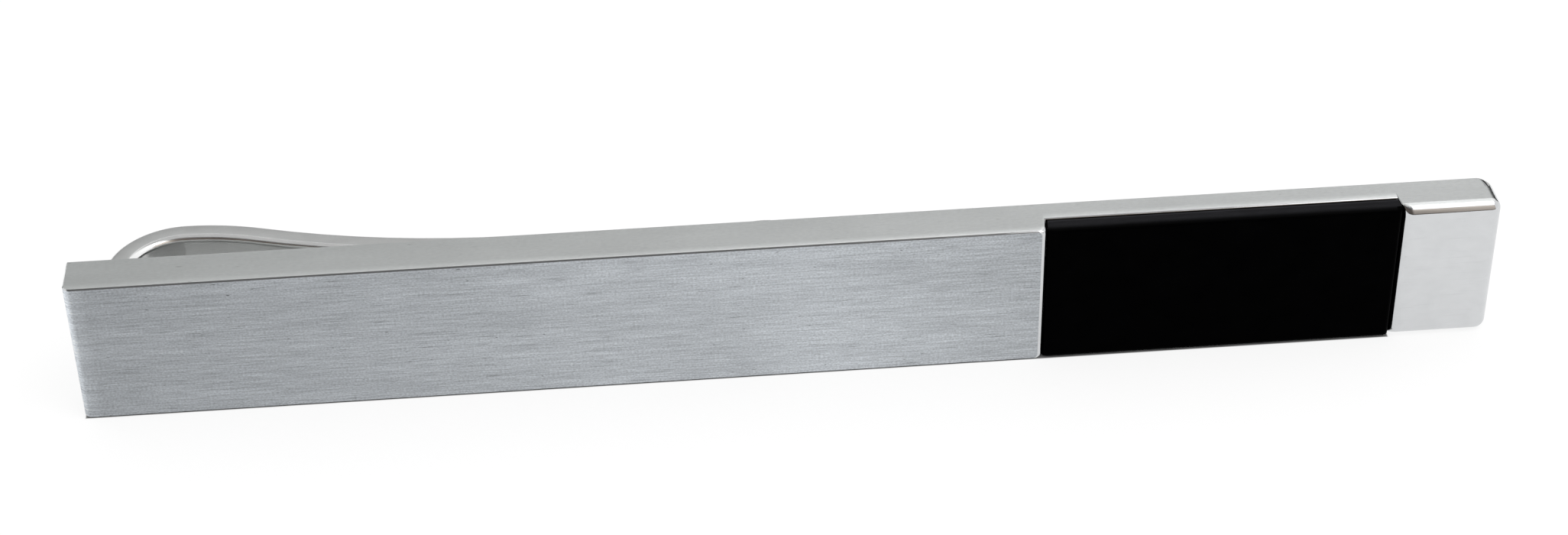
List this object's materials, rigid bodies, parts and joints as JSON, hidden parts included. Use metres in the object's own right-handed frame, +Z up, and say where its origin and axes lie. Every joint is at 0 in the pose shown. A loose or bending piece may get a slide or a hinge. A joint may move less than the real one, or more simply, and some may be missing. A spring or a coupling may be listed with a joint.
{
  "type": "tie clip",
  "caption": "Slide-type tie clip: a slim metal bar with a brushed front, black inlay and polished end, gripping the tie with a looped, sprung tongue along its back.",
  "frame": {"origin": "middle of the bar's lower long edge, halfway between front and back", "axes": "as worn: +X along the bar to the right as seen from the front, -Y out of the brushed front, +Y back towards the shirt, +Z up"},
  "size_m": [0.06, 0.0053, 0.0067],
  "materials": {
    "bar_metal": "satin",
    "spring_metal": "polished",
    "inlay_black": "polished",
    "adhesive_black": "satin",
    "braze_metal": "satin"
  },
  "bodies": {
    "bar": {"bar_body": "bar_metal", "black_inlay": "inlay_black", "inlay_adhesive": "adhesive_black", "spring_loop": "spring_metal", "braze_seam": "braze_metal"},
    "tongue": {"spring_tongue": "spring_metal"}
  },
  "joints": [
    {"name": "tongue_flex", "type": "hinge", "parent": "bar", "child": "tongue", "pos_m": [-0.02537, 0.00425, 0.00335], "axis": [0, 0, 1], "range_deg": [0, 7], "stiffness_Nm_per_rad": 2.8, "springref_deg": -1.72}
  ]
}
